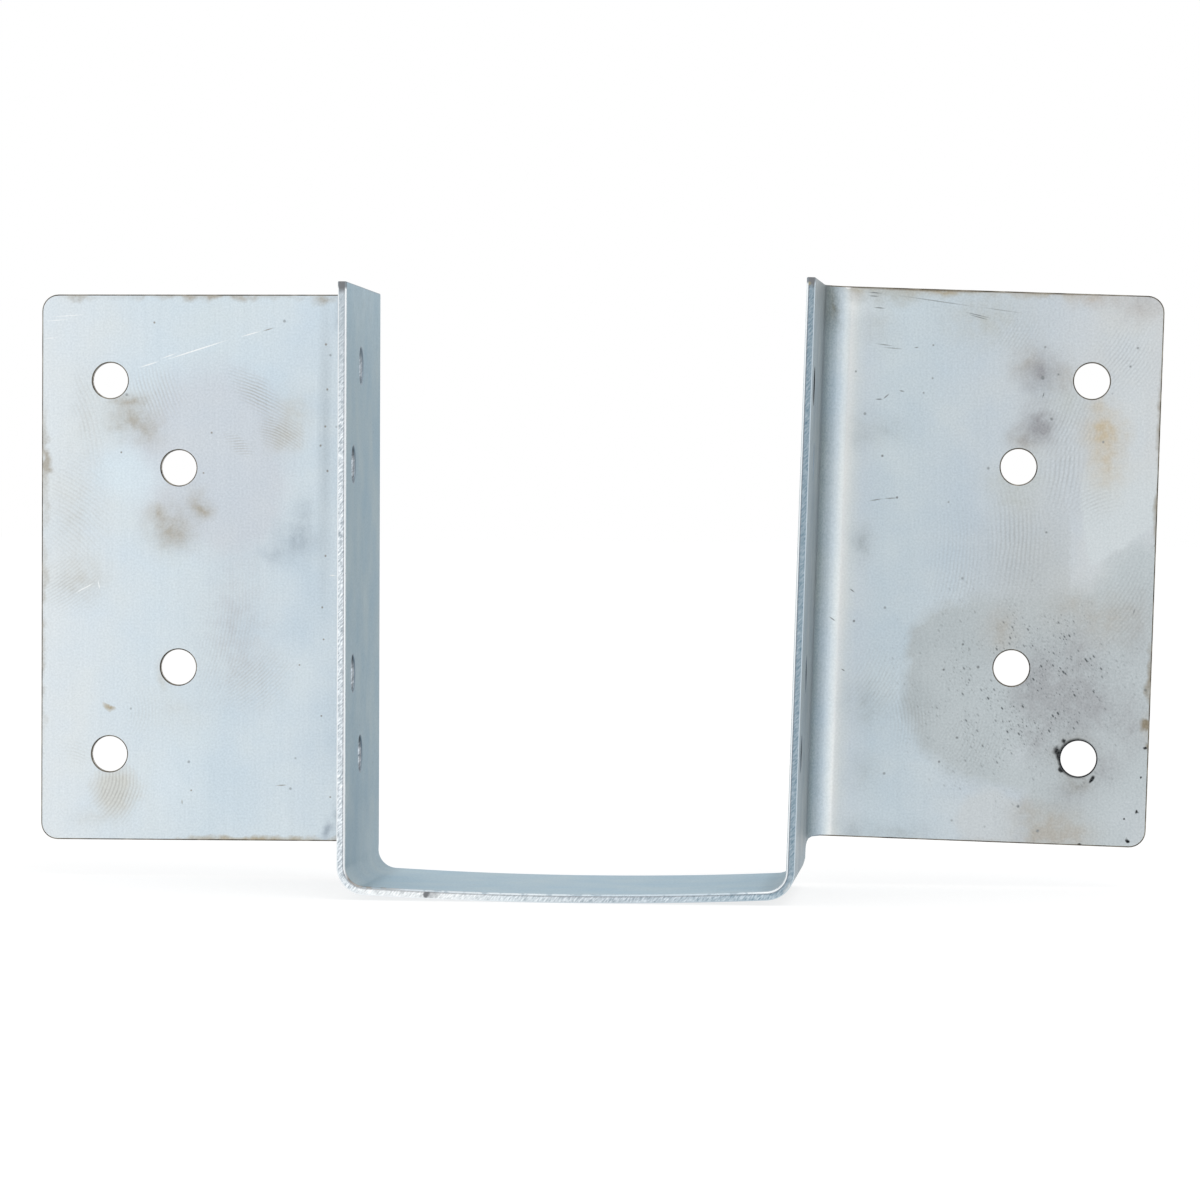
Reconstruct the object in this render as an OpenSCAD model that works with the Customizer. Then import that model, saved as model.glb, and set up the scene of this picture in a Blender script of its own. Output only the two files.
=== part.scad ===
// Joist hanger folded from one galvanised steel sheet.
// A strap forms the sagging seat and both walls, and each wall's rear edge bends out into a flange.
// The front edge faces -Y, the flanges' backs lie in the plane y = 0, x = 0 is the middle of the
// pocket and the seat's lowest line lies at z = 0.

/* [Sheet] */
// Thickness of the sheet
sheet_t = 2; // [1.5:0.1:3]

/* [Seat] */
// Width between the walls at the seat's corners
pocket_w = 100; // [70:1:160]
// Depth of the seat from its front edge to its rear edge
seat_depth = 70; // [55:1:100]
// Drop of the seat's middle below its corners
seat_sag = 1.4; // [0.4:0.1:3]
// Inside radius of the bends between the seat and the walls
seat_bend_r = 4.5; // [2:0.5:6]

/* [Walls] */
// Outward lean of the left wall, in degrees
left_lean = 0.3; // [0:0.1:3]
// Outward lean of the right wall, in degrees
right_lean = 1.5; // [0:0.1:3]
// Fall of the right wall's top edge from the flange to the front edge
right_top_fall = 1.3; // [0:0.1:3]

/* [Flanges] */
// Width of a flange from the wall's outer face to its outer edge
flange_w = 80.6; // [55:0.1:110]
// Height of a flange, its top edge flush with the wall's
flange_h = 131.4; // [110:0.1:180]
// Height of flat wall below the left flange, above the seat bend
left_foot = 1.4; // [0.5:0.1:15]
// Height of flat wall below the right flange, above the seat bend
right_foot = 4.4; // [0.5:0.1:15]
// Inside radius of the bends between the walls and the flanges
flange_bend_r = 6; // [3:0.5:8]
// Radius of the flanges' outer corners
corner_r = 4; // [1:0.5:12]
// Radius of the fillet under a flange, where its bottom edge runs into the wall's rear edge
relief_r = 5.3; // [0.5:0.1:6]

/* [Beam holes] */
// Diameter of the holes in the flanges
beam_hole_d = 8.5; // [5:0.5:11]
// Spacing of the two holes nearer a flange's outer edge
beam_outer_pair = 90; // [80:0.5:96]
// Spacing of the two holes nearer the bend
beam_inner_pair = 48; // [30:0.5:60]
// Distance of the outer pair from the flange's outer edge
beam_outer_edge = 16.6; // [10:0.1:20]
// Distance of the inner pair from the flange's outer edge
beam_inner_edge = 33.3; // [30:0.1:40]

/* [Joist holes] */
// Diameter of the holes in the walls
joist_hole_d = 8.5; // [5:0.5:11]
// Distance of the front row of holes from the front edge
joist_front_row = 15; // [8:0.5:20]
// Distance of the rear row of holes from the front edge
joist_rear_row = 30; // [26:0.5:45]
// Spacing of the outer two holes in the left wall, in the rear row
left_outer_pair = 90; // [80:0.5:94]
// Height of that pair's middle above the flange's middle
left_outer_shift = 2.4; // [-6:0.1:6]
// Spacing of the inner two holes in the left wall, in the front row
left_inner_pair = 48; // [30:0.5:60]
// Height of that pair's middle above the flange's middle
left_inner_shift = 0.4; // [-6:0.1:6]
// Spacing of the outer two holes in the right wall, in the front row
right_outer_pair = 84; // [80:0.5:94]
// Height of that pair's middle above the flange's middle
right_outer_shift = -1.8; // [-6:0.1:6]
// Spacing of the inner two holes in the right wall, in the rear row
right_inner_pair = 49; // [30:0.5:60]
// Height of that pair's middle above the flange's middle
right_inner_shift = -1.5; // [-6:0.1:6]

/* [Hidden] */
$fn = 96;

zinc = [0.79, 0.83, 0.86];
half_w = pocket_w / 2;
// The seat is an arc through both corners and its lowest point, with a radius rounded to 0.01
seat_r = round(50 * (half_w * half_w + seat_sag * seat_sag) / seat_sag) / 100;
corner_z = sheet_t + seat_sag;
corner_angle = asin(half_w / seat_r);
// Plane where the seat and the walls end and the flange bends start
rear_y = -(flange_bend_r + sheet_t);
// Sinking of a seat bend's arc into the faces that it joins, so that each edge is a clean crossing
blend = 0.001;
// Share of a foot's height that the fillet may take up, which keeps it clear of the seat bend
foot_share = 0.9;
// Distance that cuts and areas reach past the sheet
past = 20;

// Angle from the seat's lowest line to the start of its bend into a wall with this lean
function seat_end(lean) =
    asin((seat_r * sin(corner_angle + lean) - seat_bend_r) / (seat_r - seat_bend_r)) - lean;

// Height along the wall from the seat's corner to the end of the bend
function wall_start(lean) =
    seat_r * cos(corner_angle + lean) - (seat_r - seat_bend_r) * cos(seat_end(lean) + lean);

// What the rounding of a seat bend takes off the corner between the seat and a wall
module bend_offcut(lean, growth) {
    r = seat_bend_r + growth;
    slope = seat_end(lean) + lean;
    translate([-seat_bend_r, wall_start(lean)])
        difference() {
            polygon([[0, 0], [2 * r * sin(slope), -2 * r * cos(slope)], [2 * r, -2 * r], [2 * r, 0]]);
            circle(r + blend);
        }
}

// Area on the pocket's side of the +X wall's inner face, grown outwards
module beside_wall(lean, growth)
    translate([half_w, corner_z])
        rotate(-lean)
            difference() {
                translate([-pocket_w - past, -past])
                    square([pocket_w + past + growth, flange_h + 4 * past - growth]);
                bend_offcut(lean, growth);
            }

// Area between the walls and above the seat, grown outwards
module hollow(growth)
    intersection() {
        translate([0, sheet_t + seat_r]) circle(seat_r + growth, $fn = 1440);
        beside_wall(right_lean, growth);
        mirror([1, 0]) beside_wall(left_lean, growth);
    }

// The strap that forms the seat and both walls, its walls still too tall
module strap()
    translate([0, rear_y, 0])
        rotate([90, 0, 0])
            linear_extrude(seat_depth)
                difference() {
                    hollow(sheet_t);
                    hollow(0);
                }

// Frame of the +X wall: x = 0 on its inner face, y = 0 at its rear edge, z = 0 at the flange's bottom edge
module on_wall(lean, foot)
    translate([half_w, rear_y, corner_z])
        rotate([0, lean, 0])
            translate([0, 0, foot + wall_start(lean)])
                children();

// What is cut from a wall: the excess above its top edge and the two pairs of joist holes, each pair
// given as its spacing, its shift above the flange's middle and its row's distance from the front edge
module wall_cuts(top_fall, pairs) {
    front_y = -2 * seat_depth;
    above = flange_h + 4 * past;
    translate([-past, 0, 0])
        rotate([90, 0, 90])
            linear_extrude(2 * past)
                polygon([
                    [past, flange_h],
                    [0, flange_h],
                    [front_y, flange_h - 2 * top_fall],
                    [front_y, above],
                    [past, above]
                ]);
    for (pair = pairs)
        for (end = [-1, 1])
            translate([-1, pair[2] - seat_depth, flange_h / 2 + pair[1] + end * pair[0] / 2])
                rotate([0, 90, 0])
                    cylinder(d = joist_hole_d, h = sheet_t + 2);
}

// What the rounding takes off an outline's corner at the origin, where x < 0 and y > 0
module corner_offcut(r)
    difference() {
        translate([-r, 0]) square(r);
        translate([-r, r]) circle(r);
    }

// Two beam holes on one upright line
module beam_pair(spacing, x)
    for (end = [-1, 1])
        translate([x, (flange_h + end * spacing) / 2])
            circle(d = beam_hole_d);

// Flange from its bend outwards, with rounded outer corners and beam holes
module flange_outline() {
    reach = flange_w - flange_bend_r;
    difference() {
        square([reach, flange_h]);
        translate([reach, 0]) corner_offcut(corner_r);
        translate([reach, flange_h]) mirror([0, 1]) corner_offcut(corner_r);
        beam_pair(beam_outer_pair, reach - beam_outer_edge);
        beam_pair(beam_inner_pair, reach - beam_inner_edge);
    }
}

// The bend from a wall's rear edge out into the flange, over a given height
module flange_bend(height)
    translate([sheet_t + flange_bend_r, 0, 0])
        rotate([0, 0, 90])
            rotate_extrude(angle = 90)
                translate([flange_bend_r, 0])
                    square([sheet_t, height]);

// Fillet below a flange, which follows the start of the bend and meets the wall's rear edge at a given depth
module relief_fillet(r, depth) {
    length = sqrt(r * r - (r - depth) * (r - depth));
    translate([0, 0, -r])
        intersection() {
            flange_bend(r);
            rotate([90, 0, 90])
                linear_extrude(sheet_t + flange_bend_r)
                    difference() {
                        square([length, r]);
                        translate([length, 0]) circle(r);
                    }
        }
}

// A flange with its bend and the fillet below it
module flange(foot) {
    // On a low foot the fillet meets the wall's rear edge before it has quite turned into it
    fillet_r = min(relief_r, 1.2 * foot, flange_bend_r);
    flange_bend(flange_h);
    translate([sheet_t + flange_bend_r, -rear_y, 0])
        rotate([90, 0, 0])
            linear_extrude(sheet_t)
                flange_outline();
    relief_fillet(fillet_r, min(fillet_r, foot_share * foot));
}

// The whole hanger, one folded sheet
module hanger() {
    left_pairs = [
        [left_outer_pair, left_outer_shift, joist_rear_row],
        [left_inner_pair, left_inner_shift, joist_front_row]
    ];
    right_pairs = [
        [right_outer_pair, right_outer_shift, joist_front_row],
        [right_inner_pair, right_inner_shift, joist_rear_row]
    ];
    color(zinc)
        union() {
            difference() {
                strap();
                mirror([1, 0, 0]) on_wall(left_lean, left_foot) wall_cuts(0, left_pairs);
                on_wall(right_lean, right_foot) wall_cuts(right_top_fall, right_pairs);
            }
            mirror([1, 0, 0]) on_wall(left_lean, left_foot) flange(left_foot);
            on_wall(right_lean, right_foot) flange(right_foot);
        }
}

hanger();
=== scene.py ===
"""Joist hanger folded from one galvanised steel sheet, dressed for the photograph's view."""

import logging
import math
from collections.abc import Callable
from dataclasses import dataclass
from enum import Enum
from functools import partial

import bmesh
import bpy
from mathutils import Matrix, Vector


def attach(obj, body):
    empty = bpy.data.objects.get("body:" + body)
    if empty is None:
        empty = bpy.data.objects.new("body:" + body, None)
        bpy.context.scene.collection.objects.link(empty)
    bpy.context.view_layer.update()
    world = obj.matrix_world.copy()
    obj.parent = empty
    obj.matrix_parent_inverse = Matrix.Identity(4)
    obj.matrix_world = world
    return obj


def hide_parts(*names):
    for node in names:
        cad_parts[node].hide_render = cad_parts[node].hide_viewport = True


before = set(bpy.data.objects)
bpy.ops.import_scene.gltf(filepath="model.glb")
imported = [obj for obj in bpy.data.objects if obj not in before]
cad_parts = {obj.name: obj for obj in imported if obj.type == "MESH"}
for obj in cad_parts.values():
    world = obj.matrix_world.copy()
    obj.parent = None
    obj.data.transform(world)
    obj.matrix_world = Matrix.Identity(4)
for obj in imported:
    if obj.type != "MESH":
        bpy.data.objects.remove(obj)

logging.basicConfig(level=logging.INFO, format="%(message)s")
LOG = logging.getLogger("hanger")
Socket = bpy.types.NodeSocket
Colour = tuple[float, float, float, float]
Tints = tuple[tuple[float, str], ...]
Triple = tuple[float, float, float]

MM = 0.001
WHITE = (1, 1, 1, 1)
# Lengths in metres that differ by less are the same
SAME = 4e-6
PHOTO_SIZE = 1200
# Number of faces round a bend, half the seat, a fillet, a flange's corner, a hole and a rim
BEND_STEPS = 14
SEAT_STEPS = 16
FILLET_STEPS = 6
CORNER_STEPS = 8
HOLE_SIDES = 64
RIM_STEPS = 3
# Edges that turn by less, in degrees, are shaded smooth
SMOOTH_BELOW = 35
# Levels that most of a noise lies between
NOISE_LOW, NOISE_HIGH = 0.3, 0.7


class Pick(Enum):
    """Kind of mesh element that a selection is made of."""

    VERTS = "VERT"
    EDGES = "EDGE"


class Side(Enum):
    """Side of the pocket that a cheek stands on, as the sign of its x."""

    LEFT = -1
    RIGHT = 1


class Skin(Enum):
    """Part of the sheet's surface, as its place among the sheet's material slots."""

    POCKET = 0
    OUTER_RIGHT = 1
    CUT = 2
    OUTER_LEFT = 3
    ROLLED_RIM = 4
    SHARP_RIM = 5


def linear(hex_colour: str) -> Colour:
    """Turns an sRGB hex colour into a linear one.

    Args:
        hex_colour: Six hex digits.

    Returns:
        The linear red, green, blue and alpha.
    """
    levels = [int(hex_colour[i : i + 2], 16) / 255 for i in (0, 2, 4)]
    parts = [v / 12.92 if v <= 0.04045 else ((v + 0.055) / 1.055) ** 2.4 for v in levels]
    return (parts[0], parts[1], parts[2], 1.0)


def add_node(
    tree: bpy.types.NodeTree,
    kind: str,
    *values: object,
    inputs: dict | None = None,
    out: int | str = 0,
    **settings: object,
) -> Socket | None:
    """Adds one node with its settings, values and links.

    Args:
        tree: The node tree that takes the node.
        kind: The node's type without the prefix ShaderNode.
        values: Values or output sockets for the node's first inputs, in order.
        inputs: Values or output sockets for other inputs, by name or number.
        out: Name or number of the output that is wanted.
        settings: Properties of the node, or stops, the places and hex colours of a colour ramp.

    Returns:
        That output, or nothing for a node without outputs.
    """
    made = tree.nodes.new("ShaderNode" + kind)
    stops = settings.pop("stops", ())
    for name, value in settings.items():
        setattr(made, name, value)
    for number, (at, colour) in enumerate(stops):
        ramp = made.color_ramp.elements
        if number in (0, len(stops) - 1):
            stop = ramp[0 if number == 0 else -1]
            stop.position = at
        else:
            stop = ramp.new(at)
        stop.color = linear(colour)
    for name, value in (dict(enumerate(values)) | (inputs or {})).items():
        if isinstance(value, Socket):
            tree.links.new(value, made.inputs[name])
        else:
            made.inputs[name].default_value = value
    return made.outputs[out] if len(made.outputs) else None


def pick(piece: bpy.types.Object, kind: Pick, test: Callable[[Vector], bool]) -> None:
    """Selects the elements of a piece in edit mode that lie wholly where a test says.

    Args:
        piece: The piece, in edit mode.
        kind: The kind of element.
        test: Says for a point whether it belongs.
    """
    bpy.ops.mesh.select_mode(type=kind.value)
    bpy.ops.mesh.select_all(action="DESELECT")
    mesh = bmesh.from_edit_mesh(piece.data)
    if kind is Pick.VERTS:
        chosen = [v for v in mesh.verts if test(v.co)]
    else:
        chosen = [edge for edge in mesh.edges if all(test(v.co) for v in edge.verts)]
    for item in chosen:
        item.select_set(True)
    mesh.select_flush_mode()
    bmesh.update_edit_mesh(piece.data)


def near(value: float, target: float) -> bool:
    """Says whether two lengths in metres are the same to a few micrometres."""
    return abs(value - target) < SAME


def activate(piece: bpy.types.Object) -> None:
    """Makes a piece the only selected object and the active one.

    Args:
        piece: The piece.
    """
    bpy.ops.object.select_all(action="DESELECT")
    piece.select_set(True)
    bpy.context.view_layer.objects.active = piece


def face_outwards() -> None:
    """Turns all faces of the piece in edit mode to one side, outwards where it is closed."""
    bpy.ops.mesh.select_all(action="SELECT")
    bpy.ops.mesh.normals_make_consistent(inside=False)


def apply_modifier(piece: bpy.types.Object, kind: str, **settings: object) -> None:
    """Adds a modifier to a piece and applies it.

    Args:
        piece: The piece.
        kind: The modifier's type.
        settings: Properties of the modifier.
    """
    activate(piece)
    modifier = piece.modifiers.new(kind.lower(), kind)
    for name, value in settings.items():
        setattr(modifier, name, value)
    bpy.ops.object.modifier_apply(modifier=modifier.name)


@dataclass(frozen=True)
class HolePair:
    """Two joist holes above each other in a wall, in millimetres.

    Attributes:
        spacing: Distance between the two centres.
        shift: Height of their middle above the flange's middle.
        row: Distance of the centres from the front edge.
    """

    spacing: float
    shift: float
    row: float


@dataclass(frozen=True)
class Cheek:
    """One wall of the pocket with the flange that it bends out into.

    Attributes:
        side: Side of the pocket.
        lean: Outward lean of the wall, in degrees.
        foot: Height of flat wall below the flange, in millimetres.
        top_fall: Fall of the wall's top edge towards the front, in millimetres.
        pairs: The joist holes.
    """

    side: Side
    lean: float
    foot: float
    top_fall: float
    pairs: tuple[HolePair, ...]


@dataclass(frozen=True)
class Fillet:
    """Fillet below a flange, on the bend's inner side, in metres.

    Attributes:
        radius: Its radius.
        height: Its height on the wall's rear edge.
    """

    radius: float
    height: float

    def length(self) -> float:
        """Returns its length along the bend."""
        return math.sqrt(self.radius**2 - (self.radius - self.height) ** 2)

    def rise(self, back: float) -> float:
        """Works out how far the fillet has risen from its foot.

        Args:
            back: The way along the bend from the wall's rear edge.

        Returns:
            The rise.
        """
        inside = max(self.length() - back, 0)
        return self.height - self.radius + math.sqrt(self.radius**2 - inside**2)


@dataclass
class FoldedSheet:
    """The hanger's one sheet, with its sizes in millimetres.

    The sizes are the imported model's. A wall's own frame has x across the sheet from the pocket's
    side outwards, y from the front to the back and z up from the corner with the seat.
    """

    sheet_t: float = 2.0
    half_w: float = 50.0
    seat_depth: float = 70.0
    seat_sag: float = 1.4
    seat_bend_r: float = 4.5
    flange_w: float = 80.6
    flange_h: float = 131.4
    flange_bend_r: float = 6.0
    corner_r: float = 4.0
    relief_r: float = 5.3
    beam_hole_d: float = 8.5
    beam_outer_pair: float = 90.0
    beam_inner_pair: float = 48.0
    beam_outer_edge: float = 16.6
    beam_inner_edge: float = 33.3
    joist_hole_d: float = 8.5
    punch_l: float = 12.0
    rolled_rim: float = 0.4
    front_rim: float = 0.22
    sharp_rim: float = 0.28
    left: Cheek = Cheek(Side.LEFT, 0.3, 1.4, 0.0, (HolePair(90, 2.4, 30), HolePair(48, 0.4, 15)))
    right: Cheek = Cheek(Side.RIGHT, 1.5, 4.4, 1.3, (HolePair(84, -1.8, 15), HolePair(49, -1.5, 30)))

    def __post_init__(self) -> None:
        """Works out the sizes that follow from the others."""
        # The seat's radius is rounded to 0.01 mm
        self.seat_r = round(50 * (self.half_w**2 + self.seat_sag**2) / self.seat_sag) / 100
        self.corner_z = self.sheet_t + self.seat_sag
        self.corner_angle = math.asin(self.half_w / self.seat_r)
        self.rear_y = -(self.flange_bend_r + self.sheet_t)
        self.front_y = self.rear_y - self.seat_depth

    def seat_end(self, cheek: Cheek) -> float:
        """Works out where the seat turns into its bend.

        Args:
            cheek: The cheek on that side.

        Returns:
            The angle from the seat's lowest line, in radians.
        """
        lean = math.radians(cheek.lean)
        across = self.seat_r * math.sin(self.corner_angle + lean) - self.seat_bend_r
        return math.asin(across / (self.seat_r - self.seat_bend_r)) - lean

    def wall_start(self, cheek: Cheek) -> float:
        """Works out where the seat bend turns into a wall.

        Args:
            cheek: The wall's cheek.

        Returns:
            The height along the wall from the seat's corner, in millimetres.
        """
        lean = math.radians(cheek.lean)
        rise = (self.seat_r - self.seat_bend_r) * math.cos(self.seat_end(cheek) + lean)
        return self.seat_r * math.cos(self.corner_angle + lean) - rise

    def flange_foot(self, cheek: Cheek) -> float:
        """Returns the height along a wall from the seat's corner to the flange's bottom edge."""
        return self.wall_start(cheek) + cheek.foot

    def fillet(self, cheek: Cheek) -> Fillet:
        """Returns the fillet below a flange, which on a low foot ends before it is upright."""
        radius = min(self.relief_r, 1.2 * cheek.foot) * MM
        return Fillet(radius, min(radius, cheek.foot * MM))

    def placed(self, cheek: Cheek) -> Matrix:
        """Works out where a wall's own frame stands.

        Args:
            cheek: The wall's cheek.

        Returns:
            The matrix that puts it there, in metres.
        """
        mirrored = Matrix.Diagonal((cheek.side.value, 1, 1, 1))
        corner = Matrix.Translation((self.half_w * MM, 0, self.corner_z * MM))
        return mirrored @ corner @ Matrix.Rotation(math.radians(cheek.lean), 4, "Y")

    def raise_cheek(self, cheek: Cheek) -> bpy.types.Object:
        """Makes the pocket side of a wall, its half of the seat and its flange, without thickness.

        Args:
            cheek: The cheek.

        Returns:
            The open surface, in its place.
        """
        start, foot = self.wall_start(cheek) * MM, self.flange_foot(cheek) * MM
        top, below = foot + self.flange_h * MM, foot - self.fillet(cheek).height
        rear, front = self.rear_y * MM, self.front_y * MM
        middle = (0, (front + rear) / 2, (start + top) / 2)
        bpy.ops.object.select_all(action="DESELECT")
        bpy.ops.mesh.primitive_plane_add(size=1, location=middle, rotation=(0, math.pi / 2, 0))
        piece = bpy.context.object
        piece.scale = (top - start, rear - front, 1)
        bpy.ops.object.transform_apply(location=True, rotation=True, scale=True)
        bpy.ops.object.mode_set(mode="EDIT")
        bpy.ops.mesh.select_all(action="SELECT")
        if below > start + SAME:
            bpy.ops.mesh.bisect(plane_co=(0, 0, below), plane_no=(0, 0, 1))
        self.bend_seat(piece, cheek)
        self.bend_flange(piece, cheek)
        if cheek.top_fall:
            pick(piece, Pick.VERTS, lambda p: near(p.z, top) and near(p.y, front))
            bpy.ops.transform.translate(value=(0, 0, -cheek.top_fall * MM))
        bpy.ops.object.mode_set(mode="OBJECT")
        piece.matrix_world = self.placed(cheek)
        activate(piece)
        bpy.ops.object.transform_apply(location=True, rotation=True, scale=True)
        return piece

    def bend_seat(self, piece: bpy.types.Object, cheek: Cheek) -> None:
        """Spins a wall's bottom edge round the seat bend and on along half of the sagging seat.

        Args:
            piece: The flat wall, in edit mode.
            cheek: Its cheek.
        """
        start, seat_end, lean = self.wall_start(cheek) * MM, self.seat_end(cheek), math.radians(cheek.lean)
        bend_axis = (-self.seat_bend_r * MM, 0, start)
        to_middle = Vector((-self.half_w, 0, self.sheet_t + self.seat_r - self.corner_z)) * MM
        seat_axis = Matrix.Rotation(-lean, 3, "Y") @ to_middle
        turn = seat_end + lean - math.pi / 2
        pick(piece, Pick.EDGES, lambda p: near(p.z, start))
        bpy.ops.mesh.spin(steps=BEND_STEPS, angle=turn, center=bend_axis, axis=(0, 1, 0))
        bpy.ops.mesh.spin(steps=SEAT_STEPS, angle=-seat_end, center=seat_axis, axis=(0, 1, 0))

    def bend_flange(self, piece: bpy.types.Object, cheek: Cheek) -> None:
        """Spins a wall's rear edge out into its flange, in narrow steps over the fillet below it.

        Args:
            piece: The wall with its seat bend, in edit mode.
            cheek: Its cheek.
        """
        fillet = self.fillet(cheek)
        below, rear = self.flange_foot(cheek) * MM - fillet.height, self.rear_y * MM
        pick(piece, Pick.EDGES, lambda p: near(p.y, rear) and p.z > below - SAME)
        turned = 0.0
        for step in range(1, FILLET_STEPS + 1):
            along = fillet.length() * (1 - math.cos(math.pi / 2 * step / FILLET_STEPS))
            reached = math.asin(along / (self.flange_bend_r * MM))
            self.spin_bend(reached - turned, 1)
            turned = reached
        self.spin_bend(math.pi / 2 - turned, BEND_STEPS)
        reach = (self.flange_w - self.flange_bend_r) * MM
        bpy.ops.mesh.extrude_region_move(TRANSFORM_OT_translate={"value": (reach, 0, 0)})
        # The fillet is true on the bend's inner side
        inner = self.flange_bend_r / (self.flange_bend_r + self.sheet_t)
        mesh = bmesh.from_edit_mesh(piece.data)
        feet = {(v.co.x, v.co.y) for v in mesh.verts if near(v.co.z, below) and v.co.y > rear + SAME}
        for x, y in feet:
            pick(piece, Pick.VERTS, lambda p: near(p.x, x) and near(p.y, y) and near(p.z, below))
            bpy.ops.transform.translate(value=(0, 0, fillet.rise((y - rear) * inner)))
        outer_edge = (self.flange_w + self.sheet_t) * MM
        pick(piece, Pick.VERTS, lambda p: near(p.x, outer_edge))
        bpy.ops.mesh.bevel(offset=self.corner_r * MM, segments=CORNER_STEPS, affect="VERTICES")

    def spin_bend(self, angle: float, steps: int) -> None:
        """Spins the selected edge on round the flange bend's axis by an angle in radians."""
        axis = (-self.rear_y * MM, self.rear_y * MM, 0)
        bpy.ops.mesh.spin(steps=steps, angle=angle, center=axis, axis=(0, 0, 1))

    def punch(self) -> bpy.types.Object:
        """Makes the punches for all sixteen holes.

        Returns:
            One object with sixteen cylinders.
        """
        punches = []
        reach = self.sheet_t + self.flange_w
        through_flange, through_wall = (math.pi / 2, 0, 0), (0, math.pi / 2, 0)
        beam_pairs = (
            (self.beam_outer_pair, reach - self.beam_outer_edge),
            (self.beam_inner_pair, reach - self.beam_inner_edge),
        )
        for cheek in (self.left, self.right):
            middle = self.flange_foot(cheek) + self.flange_h / 2
            for end in (-1, 1):
                for spacing, out in beam_pairs:
                    place = (out, 0, middle + end * spacing / 2)
                    punches.append(self.stamp(cheek, place, through_flange, self.beam_hole_d))
                for pair in cheek.pairs:
                    place = (0, self.front_y + pair.row, middle + pair.shift + end * pair.spacing / 2)
                    punches.append(self.stamp(cheek, place, through_wall, self.joist_hole_d))
        bpy.ops.object.select_all(action="DESELECT")
        for cylinder in punches:
            cylinder.select_set(True)
        bpy.context.view_layer.objects.active = punches[0]
        bpy.ops.object.transform_apply(location=True, rotation=True, scale=True)
        bpy.ops.object.join()
        bpy.ops.object.mode_set(mode="EDIT")
        face_outwards()
        bpy.ops.object.mode_set(mode="OBJECT")
        return bpy.context.object

    def stamp(self, cheek: Cheek, place: Triple, turn: Triple, diameter: float) -> bpy.types.Object:
        """Makes the punch for one hole.

        Args:
            cheek: The cheek that takes the hole.
            place: The hole's place in the wall's own frame, in millimetres.
            turn: The punch's rotation in that frame, in radians.
            diameter: The hole's diameter, in millimetres.

        Returns:
            A cylinder through the sheet.
        """
        bpy.ops.mesh.primitive_cylinder_add(
            vertices=HOLE_SIDES,
            radius=diameter / 2 * MM,
            depth=self.punch_l * MM,
            location=Vector(place) * MM,
            rotation=turn,
        )
        cylinder = bpy.context.object
        bpy.context.view_layer.update()
        cylinder.matrix_world = self.placed(cheek) @ cylinder.matrix_world
        return cylinder

    def build(self, finishes: dict[Skin, bpy.types.Material]) -> bpy.types.Object:
        """Folds the sheet, gives it its thickness, punches the holes and breaks the edges.

        Args:
            finishes: The material of each part of the surface.

        Returns:
            The finished piece.
        """
        left, piece = self.raise_cheek(self.left), self.raise_cheek(self.right)
        activate(piece)
        left.select_set(True)
        bpy.ops.object.join()
        piece.name = "folded_sheet"
        piece.data.name = "folded_sheet"
        for skin in Skin:
            piece.data.materials.append(finishes[skin])
        bpy.ops.object.mode_set(mode="EDIT")
        bpy.ops.mesh.select_all(action="SELECT")
        bpy.ops.mesh.remove_doubles(threshold=SAME / 2)
        face_outwards()
        bpy.ops.object.mode_set(mode="OBJECT")
        # The open sheet has to face into the pocket, so that it grows thicker outwards
        seat = min(piece.data.polygons, key=lambda f: abs(f.center.x) + f.center.z)
        if seat.normal.z < 0:
            bpy.ops.object.mode_set(mode="EDIT")
            bpy.ops.mesh.flip_normals()
            bpy.ops.object.mode_set(mode="OBJECT")
        apply_modifier(
            piece,
            "SOLIDIFY",
            thickness=self.sheet_t * MM,
            offset=-1,
            use_even_offset=True,
            use_quality_normals=True,
            material_offset=Skin.OUTER_RIGHT.value,
            material_offset_rim=Skin.CUT.value,
        )
        punches = self.punch()
        punches.data.materials.append(finishes[Skin.CUT])
        apply_modifier(
            piece, "BOOLEAN", object=punches, operation="DIFFERENCE", solver="EXACT", material_mode="TRANSFER"
        )
        bpy.data.objects.remove(punches)
        self.break_rims(piece)
        for face in piece.data.polygons:
            if face.material_index == Skin.OUTER_RIGHT.value and face.center.x < 0:
                face.material_index = Skin.OUTER_LEFT.value
        self.mark_sheet(piece)
        activate(piece)
        bpy.ops.object.shade_smooth_by_angle(angle=math.radians(SMOOTH_BELOW))
        apply_modifier(piece, "WEIGHTED_NORMAL", keep_sharp=True, weight=100)
        return piece

    def break_rims(self, piece: bpy.types.Object) -> None:
        """Rounds the sheet's rims: wide along the strap's front edge in the pocket, slight elsewhere.

        Args:
            piece: The solid sheet.
        """
        pocket, outer = Skin.POCKET.value, Skin.OUTER_RIGHT.value
        passes = (
            (Skin.ROLLED_RIM, True, {pocket}, self.rolled_rim),
            (Skin.ROLLED_RIM, True, {outer}, self.front_rim),
            (Skin.SHARP_RIM, False, {pocket, outer}, self.sharp_rim),
        )
        for skin, in_front, beside, width in passes:
            mesh = bmesh.new()
            mesh.from_mesh(piece.data)
            weights = mesh.edges.layers.float.get("bevel_weight_edge")
            if weights is None:
                weights = mesh.edges.layers.float.new("bevel_weight_edge")
            for edge in mesh.edges:
                skins = {face.material_index for face in edge.link_faces}
                front = all(near(vert.co.y, self.front_y * MM) for vert in edge.verts)
                at_rim = Skin.CUT.value in skins and len(skins & beside) == 1
                edge[weights] = float(at_rim and front == in_front)
            mesh.to_mesh(piece.data)
            mesh.free()
            apply_modifier(
                piece,
                "BEVEL",
                width=width * MM,
                segments=RIM_STEPS,
                limit_method="WEIGHT",
                use_clamp_overlap=False,
                material=skin.value,
            )

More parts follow.
